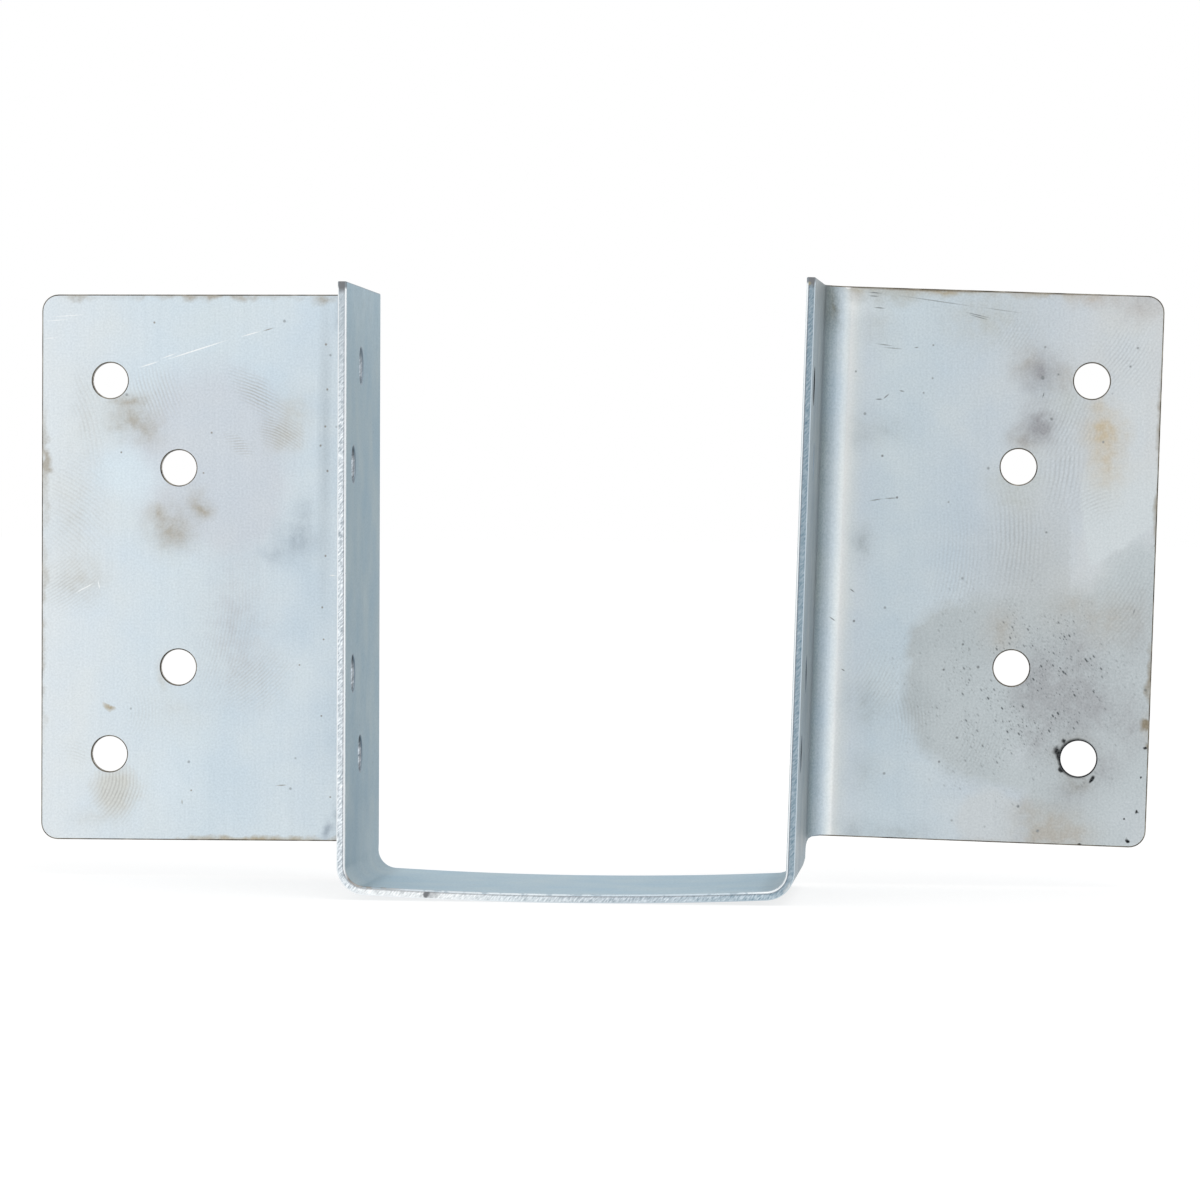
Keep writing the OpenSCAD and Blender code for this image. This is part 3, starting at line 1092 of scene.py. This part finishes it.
RIGHT_COAT = ZincCoat(
    name="galvanised_right",
    run=Run.FOLD,
    tilt=-0.0084,
    wipe=0.02,
    # Coat colour along the fold, partly painted light: painted shade darkening the wall's outer face towards
    # the flange bend, a painted highlight in a near-white band across the bend, and a flange greyer than the
    # left one as painted reflection
    tints=(
        (-70, "9BA6AC"), (-45, "8A9499"), (-25, "7D878B"), (-6, "7B8487"), (0.5, "8E9598"), (3.4, "919CA0"),
        (5.8, "A5B2BA"), (8.3, "C2CED6"), (9.8, "DFE7EA"), (10.9, "F6F9F9"), (11.9, "EBF0F1"),
        (13, "E0E8EC"), (15, "D8E2E9"), (20, "D0DCE3"), (27, "CAD6DD"), (42, "C5CFD6"), (55, "C4CCD2"),
        (68, "C8CED2"), (80, "CCD2D5"), (85.6, "CBCFD1"),
    ),
    marks_and_light=(
        # Greenish film below the top edge and a thin grey one between the holes
        SoilAndLight("C0C6C6", Edge.BLOTCHY, (
            Spot(94, 136, 22, 13), Spot(113, 116, 12, 11, 0.9), Spot(98, 97, 9, 7, 0.9),
            Spot(101, 92, 9, 9, 0.9), Spot(104, 99, 9, 12, 0.9), Spot(72, 141, 17, 4.4, 1.6),
            Spot(68, 134, 11, 11, 0.5),
        )),
        # Grey damp film over the lower part, with a clear edge to the left, darker between the holes
        SoilAndLight("BDC5C8", Edge.RAGGED, (
            Spot(97.5, 47, 24.2, 24.5, 7), Spot(118, 45, 26, 29, 5), Spot(119, 20, 17, 18, 3),
            Spot(131, 66, 12, 20, 3), Spot(84, 57.5, 9, 11, 3),
        )),
        SoilAndLight("B9BFC2", Edge.RAGGED, (Spot(98, 70, 11.5, 25, 1.2),), film=0.4),
        SoilAndLight(
            "B6BBBC", Edge.RAGGED, (Spot(66, 76, 49.4, 60, 40),),
            film=0.6, within=(Spot(109, 73, 14, 27, 1.3),),
        ),
        SoilAndLight("A9ADB0", Edge.BLOTCHY, (
            Spot(112, 46, 17, 20, 1.1), Spot(121, 44, 15, 15, 0.8), Spot(105, 51, 8, 11, 0.7),
            Spot(117, 58, 13, 13, 0.8), Spot(130, 60, 9, 22, 0.5), Spot(107, 34, 9, 13, 0.7),
            Spot(123, 29, 8, 9, 0.9), Spot(129.5, 38, 8, 14, 0.8), Spot(115, 22, 13, 10, 0.7),
            Spot(104, 45, 9, 11, 0.6),
        )),
        # Patch that was rubbed clean, and paler places in the film
        SoilAndLight(
            "CDD4D7", Edge.RAGGED, (Spot(174.2, 92, 58, 52, 55),),
            within=(Spot(92.7, 130, 60, 60, 55), Spot(124, 82, 27, 24, 2.2)),
        ),
        SoilAndLight("C8CED1", Edge.RAGGED, (Spot(95.5, 16.5, 8.5, 8, 4),), film=0.9),
        SoilAndLight("C3CACE", Edge.BLOTCHY, (Spot(103, 31.5, 6, 6, 0.9), Spot(128, 17, 10, 12, 0.9))),
        # Brown and tan stains
        SoilAndLight("B3B1AB", Edge.BLOTCHY, (
            Spot(98.3, 61, 8, 10, 0.8), Spot(115, 68, 12, 8, 0.5, 20), Spot(124, 64, 17, 11, 0.7, 10),
            Spot(103.5, 105.4, 6, 5, 0.3), Spot(105.5, 124.5, 11, 9, 0.45), Spot(109.5, 13.5, 14, 11, 1.4),
            Spot(117, 13, 9, 7, 0.6), Spot(104, 19, 7, 6, 0.5), Spot(95, 10.5, 13, 2.4, 0.9),
            Spot(103.2, 125.4, 7, 8, 0.4), Spot(112.8, 121.5, 6, 7, 0.55), Spot(102.6, 107.2, 7, 6, 0.6),
            Spot(133.6, 38, 3, 9, 0.9),
        )),
        # Dark purple-grey blots
        SoilAndLight("9FA1A5", Edge.BLOTCHY, (
            Spot(106.9, 122.6, 9.5, 9.5, 1.05), Spot(106.6, 110.2, 7.4, 9, 1.2, 15),
            Spot(103.4, 107.6, 6, 6, 0.5), Spot(118, 41, 12, 10, 0.35), Spot(107.3, 52, 6, 7, 0.35),
        )),
        # Smudges beside the bend
        SoilAndLight("AFB8BB", Edge.BLOTCHY, (
            Spot(65, 108.4, 7, 9, 0.45), Spot(71, 108.7, 7, 6, 0.4), Spot(65, 81.6, 5, 9, 0.65),
            Spot(66, 43.7, 9, 11, 0.5), Spot(66, 27, 7, 9, 0.4), Spot(64, 13, 9, 7, 0.6),
            Spot(75, 12, 14, 6, 0.55),
        )),
        # Tan and orange tints
        SoilAndLight("C3B8A3", Edge.BLOTCHY, (
            Spot(122, 109, 9, 8.4, 1.15), Spot(122.7, 101, 9, 14, 0.75), Spot(121, 115.6, 6, 5, 0.7),
        )),
        SoilAndLight("BDBAB6", Edge.BLOTCHY, (
            Spot(119, 140.5, 11, 4), Spot(130, 139, 13, 9, 0.75), Spot(63, 141, 3.4, 4, 0.6),
        )),
        SoilAndLight("B6B8BA", Edge.BLOTCHY, (Spot(131, 140, 15, 7, 0.6),)),
        SoilAndLight("74776F", Edge.BLOTCHY, (Spot(57.2, 138, 3.2, 12, 0.8),)),
        # Brown grime along the top and outer edges
        SoilAndLight("B2AB9B", Edge.BLOTCHY, (
            Spot(82, 142.3, 25, 2.4, 1.2, -1.5), Spot(108, 141.7, 22, 2, 0.9, -1.5),
            Spot(64, 142.6, 6, 2.6, 0.8),
        )),
        SoilAndLight("857D6E", Edge.CLEAR, (
            Spot(80, 142.62, 24, 0.75, 1.8, -1.5), Spot(108, 141.88, 26, 0.6, 1.3, -1.5),
            Spot(136, 109.7, 0.8, 32, 1.5, -1.5),
        )),
        SoilAndLight("8F8777", Edge.RAGGED, (
            Spot(135.9, 112, 1.6, 16, 1.1, -1.5), Spot(135.2, 89.4, 1.3, 12, 0.9, -1.5),
            Spot(133.4, 50, 1.1, 10, 0.9, -1.5), Spot(132.5, 38.7, 1.2, 1.8, 1.8),
            Spot(132.6, 33.5, 0.9, 1.4, 1.2),
        )),
        # Black grime round the lowest hole and on the corner
        SoilAndLight("857F76", Edge.BLOTCHY, (Spot(115.8, 31.4, 8, 8, 1.1), Spot(116.5, 25, 6.4, 4, 0.6))),
        SoilAndLight("3F4040", Edge.CLEAR, (Spot(116.5, 31, 4.95, 4.95, 9),)),
        SoilAndLight("3A3C3D", Edge.RAGGED, (
            Spot(111.9, 32.4, 1.1, 2.3, 2), Spot(113.6, 35, 0.7, 0.7, 1.5), Spot(112.9, 28.3, 0.8, 0.8, 2),
            Spot(119.6, 26.4, 0.7, 1.2, 2), Spot(131.8, 33.3, 0.5, 0.5, 2), Spot(131.6, 25.9, 0.5, 0.5, 2),
            Spot(128.7, 11.2, 0.7, 0.7, 2), Spot(127.2, 16.8, 0.4, 0.4, 2), Spot(130.6, 18.2, 0.4, 0.4, 2),
            Spot(117.1, 10.9, 0.8, 0.5, 2),
        )),
        # Darker foot of the wall, and a painted glint on the nick in the top edge
        SoilAndLight("7F919B", Edge.BLOTCHY, (Spot(52.4, 8, 5, 9, 1.2),)),
        SoilAndLight("F2F4F4", Edge.CLEAR, (Spot(60.9, 142.9, 0.9, 0.5, 1.6),)),
        # Dark scratches and specks
        SoilAndLight("858A8C", Edge.CLEAR, (
            Spot(67.3, 141.6, 2, 0.18, 1.4, -5), Spot(67, 140.8, 1.4, 0.18, 1.4, -4),
            Spot(68.4, 138, 1.6, 0.18, 1.4, -5), Spot(82, 139.7, 10.2, 0.16, 1, -8),
            Spot(97.6, 137.6, 5.7, 0.16, 0.7, -8), Spot(91.9, 136.4, 3.4, 0.17, 1.2, -13),
            Spot(92.1, 135.9, 2.8, 0.17, 1.2, -15), Spot(69.7, 129.2, 2.5, 0.16, 1, -7),
            Spot(71.8, 128.4, 2.7, 0.16, 1, -4), Spot(77.3, 128.6, 0.6, 0.2, 1.2),
            Spot(68.5, 116.2, 1, 0.2, 1.4), Spot(70.2, 116.9, 1, 0.2, 1.4, 41),
            Spot(73.9, 118.2, 0.8, 0.2, 1.2, -10), Spot(68, 92.2, 1.8, 0.18, 1.2, 10),
            Spot(71.5, 92.6, 1.8, 0.18, 1.2, 3), Spot(107.6, 117.5, 0.9, 0.2, 1.4, 74),
            Spot(62.5, 70.5, 0.9, 0.2, 1.4, -35), Spot(57.8, 63.7, 1.1, 0.2, 1.4, -36),
            Spot(60.5, 51.5, 0.6, 0.2, 1.4, -33), Spot(129.6, 66.1, 0.9, 0.2, 1.4, 77),
            Spot(62.9, 122.8, 0.35, 0.35, 1.1), Spot(81.3, 129.2, 0.35, 0.35, 1.1),
            Spot(107.9, 128.9, 0.4, 0.4, 1.1), Spot(107.4, 121.6, 0.6, 0.6, 1.6),
            Spot(108.6, 84.8, 0.4, 0.4, 1.1), Spot(87.8, 35.6, 0.5, 0.4, 1.4, -30),
            *specks(0.4, 1.4,
                (69.4, 102.7), (73, 92.8), (63, 63.2), (89, 57.9), (84.5, 51.8), (83.6, 29.8),
            ),
            *specks(0.35, 0.9, (81.2, 121.3), (79.1, 117.8), (85.3, 91.8)),
            *specks(0.5, 1.4, (109.6, 111.8), (92.7, 52.5), (107.2, 13.6), (102.5, 19.4)),
            *specks(0.4, 1.2, (111.1, 122.4), (121.9, 106.4), (128.2, 124.4), (129.9, 128.8)),
        )),
    ),
    prints=(
        Print(Spot(127, 126.5, 10, 11, 0.32), (90, 153), 0.85),
        Print(Spot(112, 110.7, 12, 13, 0.32), (60, 134), 0.9),
        Print(Spot(112.7, 99, 8, 11, 0.35), (50, 108), 1.1),
        Print(Spot(101.3, 82.3, 9, 17, 0.42), (50, 84), 1.03),
        Print(Spot(101.1, 132.5, 9, 7, 0.25), (70, 150), 0.8),
        Print(Spot(119, 92.1, 8, 6, 0.25), (126, 78), 0.9),
        Print(Spot(128, 67.6, 9, 14, 0.35), (90, 92), 0.9),
        Print(Spot(77.6, 41, 8, 10, 0.32), (52, 38), 0.85),
        Print(Spot(92, 34, 12, 9, 0.25), (70, 44), 0.85),
        Print(Spot(68.4, 48.3, 9, 11, 0.22), (40, 66), 0.85),
        Print(Spot(88, 76, 10, 18, 0.22), (30, 84), 0.9),
    ),
    print_tint="989C9D",
    pitted=(Spot(102, 46, 38, 34, 1.2), Spot(109, 49, 19, 19, 1.5)),
)

POCKET_COAT = ZincCoat(
    name="galvanised_pocket",
    run=Run.ACROSS,
    # Coat colour out from the middle, partly painted shade: pale on the seat, darker from the seat bend up
    # the walls
    tints=(
        (0, "B3C7D2"), (43, "B2C7D2"), (48.5, "9AACB5"), (54, "9AADB6"), (60, "BAC6CD"), (86, "C6D0D6"),
        (136, "C9D2D7"),
    ),
    cloud=0.12,
    marks_and_light=(
        # Lighter near the top of the left wall, and painted light at its foot that lifts the wall's painted
        # shade there
        SoilAndLight("A9BCC6", Edge.BLOTCHY, (Spot(-51, 142, 8, 34, 0.9), Spot(-50, 9, 6, 15, 0.4))),
    ),
    edge_tint="E2E7EA",
    roughness=0.5,
)


@dataclass(frozen=True)
class ShearedEdge:
    """Bare steel where the sheet was sheared and punched: torn in bright slanting strokes.

    Attributes:
        name: Name of the material.
        tints: Places from left to right in millimetres, with sRGB hex colours.
        line_tint: sRGB hex colour of the line beside the burnished rim.
        underside_shade_tint: sRGB hex colour of the painted shade on faces that look down.
        grime_and_glint: Dark blots on the edge, and a painted glint on its torn right corner.
        roughness: Middle roughness of the shader.
        gloss: Roughness between the strokes and on them.
    """

    name: str = "sheared_steel"
    tints: Tints = (
        (-60, "8A8376"), (-57, "8A8376"), (-55, "D3DBE1"), (-49.5, "D6DEE4"), (-46, "EDF1F3"),
        (-28, "EBEFF1"), (-12, "D8E1E6"), (0, "CCD5DB"), (14, "C1CCD4"), (30, "BBC9D2"), (46, "A8BAC5"),
        (50, "94A6B2"), (55, "8C9EAA"), (57, "7C766B"), (60, "7C766B"),
    )
    line_tint: str = "73757C"
    underside_shade_tint: str = "4E5254"
    grime_and_glint: tuple[SoilAndLight, ...] = (
        SoilAndLight("ABB7BF", Edge.BLOTCHY, (Spot(-51.7, 134, 8, 38, 1.3),), film=0.65),
        SoilAndLight("7B7D80", Edge.RAGGED, (
            Spot(-51.7, 140.8, 6, 3, 3), Spot(54.8, 142.4, 6, 3.2, 3), Spot(-30.8, 1.6, 0.8, 1.6, 1.8),
            Spot(-29.9, 1.6, 1.8, 1.2, 0.6),
        )),
        SoilAndLight("9A9783", Edge.CLEAR, (Spot(54.1, 140.6, 0.65, 0.55, 1.5),)),
        # Painted glint on the torn steel round the right corner
        SoilAndLight("EFEDE8", Edge.BLOTCHY, (Spot(50.9, 4.2, 2.6, 1.4, 1.1, 62),)),
    )
    roughness: float = 0.34
    gloss: tuple[float, float] = (0.44, 0.26)

    def make(self) -> bpy.types.Material:
        """Makes the material.

        Returns:
            The material.
        """
        ground = Ground(self.name, self.roughness)
        across = ground.add("SeparateXYZ", ground.place, out="X")
        # Strokes 0.35 mm wide and 1.2 mm long that rise to the right, as the shear tore the steel
        strokes = ground.strokes(48, (1.2, 1.2, 0.35), 2.0)
        # The strokes are bold on the left wall, weaker on the seat and faint on the right wall
        left = ground.add("MapRange", across, -50.5 * MM, -46 * MM, 0.85, 0.6)
        right = ground.add("MapRange", across, 42 * MM, 50 * MM, 0.85, 0.3)
        torn = ground.add("Math", left, right, operation="MINIMUM")
        # A thin dark line where the sheared face meets the burnished rim
        depth = ground.add("Attribute", out="Fac", attribute_name="depth")
        line = ground.add("MapRange", depth, 0.74 * MM, 0.6 * MM, 0.0, 0.5)
        # Painted shade: faces that look down are darkened
        upward = ground.add("SeparateXYZ", ground.add("NewGeometry", out="Normal"), out="Z")
        film = ground.add("MapRange", upward, -0.15, -0.7, 0.0, 0.75)
        layers = [
            Layer(torn, strokes, "LINEAR_LIGHT"),
            Layer(line, linear(self.line_tint)),
            Layer(film, linear(self.underside_shade_tint)),
            *(marking.layer(ground) for marking in self.grime_and_glint),
        ]
        gloss = ground.add("MapRange", strokes, 0.0, 1.0, *self.gloss)
        relief = ground.add("Bump", inputs={"Strength": 0.3, "Distance": 0.05 * MM, "Height": strokes})
        return ground.finish(ground.tinted(across, self.tints), layers, gloss, relief)


@dataclass(frozen=True)
class RolledRim:
    """Rim of the strap's front edge, drawn round and burnished by the shear, its bright white a painted
    highlight.

    Attributes:
        name: Name of the material.
        tints: Places from left to right in millimetres, with sRGB hex colours; the white ones are a painted
            highlight on the burnish.
        outer_tints: The same for the outer rim, with a white painted highlight on the left and hardly
            burnished on the right.
        gap_tint: sRGB hex colour of the gaps in the burnish and in its painted highlight.
        ends: Dull ends at the tops of the walls.
        roughness: Middle roughness of the shader.
        gloss: Roughness in the gaps and on the burnish.
    """

    name: str = "burnished_rim_painted_highlight"
    tints: Tints = (
        (-60, "F2F6F8"), (-50.2, "F4F8FA"), (-49.2, "8F8C88"), (-42, "9B9A98"), (-36, "C9D2D8"),
        (-10, "DCE4E8"), (10, "C3D0D8"), (38, "C3D0D8"), (46, "EDF2F5"), (60, "F2F7F9"),
    )
    outer_tints: Tints = (
        (-48, "F0F4F6"), (-27.6, "F0F4F6"), (0, "CDD6DC"), (42, "B5C4CE"), (48, "C3D0D8"),
    )
    gap_tint: str = "A3B3BD"
    ends: SoilAndLight = SoilAndLight("8A9197", Edge.CLEAR, (Spot(-51, 140.8, 4, 2.2, 4), Spot(54, 142.6, 4, 2.2, 4)))
    roughness: float = 0.3
    gloss: tuple[float, float] = (0.42, 0.2)

    def make(self) -> bpy.types.Material:
        """Makes the material.

        Returns:
            The material.
        """
        ground = Ground(self.name, self.roughness)
        across = ground.add("SeparateXYZ", ground.place, out="X")
        # On the seat the burnish and its painted highlight come and go every millimetre or two
        breaks = ground.add("TexNoise", inputs=ground.sized(1.6, Detail=2.0))
        gaps = ground.add("MapRange", breaks, 0.5, 0.4, 0.0, 0.8)
        seat = ground.add("MapRange", ground.add("Math", across, operation="ABSOLUTE"), 48 * MM, 45 * MM)
        depth = ground.add("Attribute", out="Fac", attribute_name="depth")
        outer = ground.add("MapRange", depth, 1.0 * MM, 1.2 * MM)
        layers = [
            Layer(ground.add("Math", gaps, seat, operation="MULTIPLY"), linear(self.gap_tint)),
            Layer(outer, ground.tinted(across, self.outer_tints)),
            self.ends.layer(ground),
        ]
        gloss = ground.add("MapRange", breaks, 0.0, 1.0, *self.gloss)
        return ground.finish(ground.tinted(across, self.tints), layers, gloss)


@dataclass(frozen=True)
class SharpRim:
    """Rims of the flanges and holes, where brown grime has caught, and the paler rims of the walls.

    Attributes:
        name: Name of the material.
        wall_tint: sRGB hex colour of the walls' rims.
        grime_tints: Levels of the grime's patches, with sRGB hex colours.
        dark: Black grime round the lowest hole, and the torn rim at the right wall's foot.
        holes: Dark oil in the rims of the right wall's holes.
        roughness: Middle roughness of the shader.
        gloss: Roughness in dark and in pale patches.
    """

    name: str = "grimed_rim"
    wall_tint: str = "8C99A3"
    grime_tints: Tints = ((0.3, "433E37"), (0.5, "676156"), (0.7, "938E83"))
    dark: SoilAndLight = SoilAndLight("24262A", Edge.RAGGED, (Spot(116.7, 31, 7, 7, 3), Spot(52.4, 7, 5, 5, 2)))
    holes: SoilAndLight = SoilAndLight("33353A", Edge.CLEAR, (
        Spot(54.5, 118, 4, 7, 3), Spot(53.2, 51.6, 4, 7, 0.7), Spot(52.7, 33.8, 4, 7, 0.8),
    ))
    roughness: float = 0.5
    gloss: tuple[float, float] = (0.62, 0.4)

    def make(self) -> bpy.types.Material:
        """Makes the material.

        Returns:
            The material.
        """
        ground = Ground(self.name, self.roughness)
        # Patches of grime 3 mm wide
        patches = ground.add("TexNoise", inputs=ground.sized(3, Detail=3.0))
        across = ground.add("SeparateXYZ", ground.place, out="X")
        beside = ground.add("Math", across, operation="ABSOLUTE")
        on_flange = ground.add("MapRange", beside, 54.5 * MM, 57 * MM)
        layers = [
            Layer(on_flange, ground.add("ValToRGB", patches, stops=self.grime_tints)),
            self.dark.layer(ground),
            self.holes.layer(ground),
        ]
        gloss = ground.add("MapRange", patches, 0.0, 1.0, *self.gloss)
        return ground.finish(linear(self.wall_tint), layers, gloss)


@dataclass(frozen=True)
class Studio:
    """The pale floor, the soft light and the camera.

    Attributes:
        focal: Focal length in pixels of the square photograph.
        eye: The camera's place, in millimetres.
        yaw: Turn to the left of the view along +Y, in degrees.
        pitch: Tilt downwards, in degrees.
        roll: Roll of the frame, in degrees.
        lamp_place: The lamp's place, in metres.
        lamp_aim: The point that it shines at, in metres.
        lamp_size: Its diameter, in metres.
        lamp_power: Its power, in watts.
        room_light: Strength of the white room on the object. It looks full white itself.
        floor_size: Length of the square floor's side, in metres.
        floor_tint: sRGB hex colour of the paper's part that takes the shadow.
        floor_glow: Strength of the paper's own white.
    """

    focal: float = 5683.7172
    eye: Triple = (97.8494, -1360.4185, 87.0624)
    yaw: float = 4.03
    pitch: float = 0.8175
    roll: float = 0.4991
    lamp_place: Triple = (0.5, -0.9, 1.6)
    lamp_aim: Triple = (0, -0.04, 0.07)
    lamp_size: float = 1.2
    lamp_power: float = 6.0
    room_light: float = 0.8
    floor_size: float = 40.0
    floor_tint: str = "9A9A9A"
    floor_glow: float = 0.75

    def set_camera(self) -> bpy.types.Object:
        """Places the camera at the photograph's viewpoint.

        Returns:
            The camera.
        """
        yaw, pitch, roll = (math.radians(a) for a in (self.yaw, self.pitch, self.roll))
        ahead = Vector((-math.sin(yaw) * math.cos(pitch), math.cos(yaw) * math.cos(pitch), -math.sin(pitch)))
        level = Vector((math.cos(yaw), math.sin(yaw), 0))
        upright = level.cross(ahead)
        right = math.cos(roll) * level + math.sin(roll) * upright
        up = math.cos(roll) * upright - math.sin(roll) * level
        lens = bpy.data.cameras.new("camera")
        lens.sensor_fit = "HORIZONTAL"
        lens.sensor_width = 36
        lens.lens = self.focal / PHOTO_SIZE * lens.sensor_width
        lens.clip_start, lens.clip_end = 0.05, 50
        camera = bpy.data.objects.new("camera", lens)
        bpy.context.scene.collection.objects.link(camera)
        turn = Matrix((right, up, -ahead)).transposed().to_4x4()
        camera.matrix_world = Matrix.Translation(Vector(self.eye) * MM) @ turn
        bpy.context.scene.camera = camera
        return camera

    def light(self) -> None:
        """Lights the scene with a white room and one large soft lamp above."""
        world = bpy.data.worlds.new("white_room")
        world.use_nodes = True
        bpy.context.scene.world = world
        tree = world.node_tree
        tree.nodes.clear()
        path = add_node(tree, "LightPath").node.outputs
        shown = path["Is Camera Ray"]
        for ray in ("Is Glossy Ray", "Is Transmission Ray"):
            shown = add_node(tree, "Math", shown, path[ray], operation="MAXIMUM")
        level = add_node(tree, "MapRange", shown, 0.0, 1.0, self.room_light, 1.0)
        add_node(tree, "OutputWorld", add_node(tree, "Background", WHITE, level))
        bpy.ops.object.select_all(action="DESELECT")
        bpy.ops.object.light_add(type="AREA", location=self.lamp_place)
        lamp = bpy.context.object
        lamp.name = "soft_lamp"
        lamp.data.shape = "DISK"
        lamp.data.size = self.lamp_size
        lamp.data.energy = self.lamp_power
        beam = Vector(self.lamp_aim) - Vector(self.lamp_place)
        lamp.rotation_euler = beam.to_track_quat("-Z", "Y").to_euler()

    def lay_floor(self) -> bpy.types.Object:
        """Lays a pale floor that keeps the object's shadow.

        Returns:
            The floor.
        """
        bpy.ops.object.select_all(action="DESELECT")
        bpy.ops.mesh.primitive_plane_add(size=self.floor_size, location=(0, 0, 0))
        floor = bpy.context.object
        floor.name = "floor"
        material = bpy.data.materials.new("white_paper")
        material.use_nodes = True
        tree = material.node_tree
        tree.nodes.clear()
        # Paper lit from all round: most of its white is its own, and the rest takes the shadow
        matt = add_node(tree, "BsdfDiffuse", linear(self.floor_tint))
        glow = add_node(tree, "Emission", WHITE, self.floor_glow)
        add_node(tree, "OutputMaterial", add_node(tree, "AddShader", matt, glow))
        floor.data.materials.append(material)
        return floor


def main() -> None:
    """Builds the hanger and its studio."""
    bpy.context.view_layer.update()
    bpy.context.scene.view_settings.view_transform = "Standard"
    studio = Studio()
    studio.set_camera()
    studio.light()
    studio.lay_floor()
    finishes = {
        Skin.POCKET: POCKET_COAT.make(),
        Skin.OUTER_RIGHT: RIGHT_COAT.make(),
        Skin.CUT: ShearedEdge().make(),
        Skin.OUTER_LEFT: LEFT_COAT.make(),
        Skin.ROLLED_RIM: RolledRim().make(),
        Skin.SHARP_RIM: SharpRim().make(),
    }
    sheet = FoldedSheet().build(finishes)
    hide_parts("hanger")
    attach(sheet, "root")
    LOG.info("%s: %d faces", sheet.name, len(sheet.data.polygons))


if __name__ == "__main__":
    main()
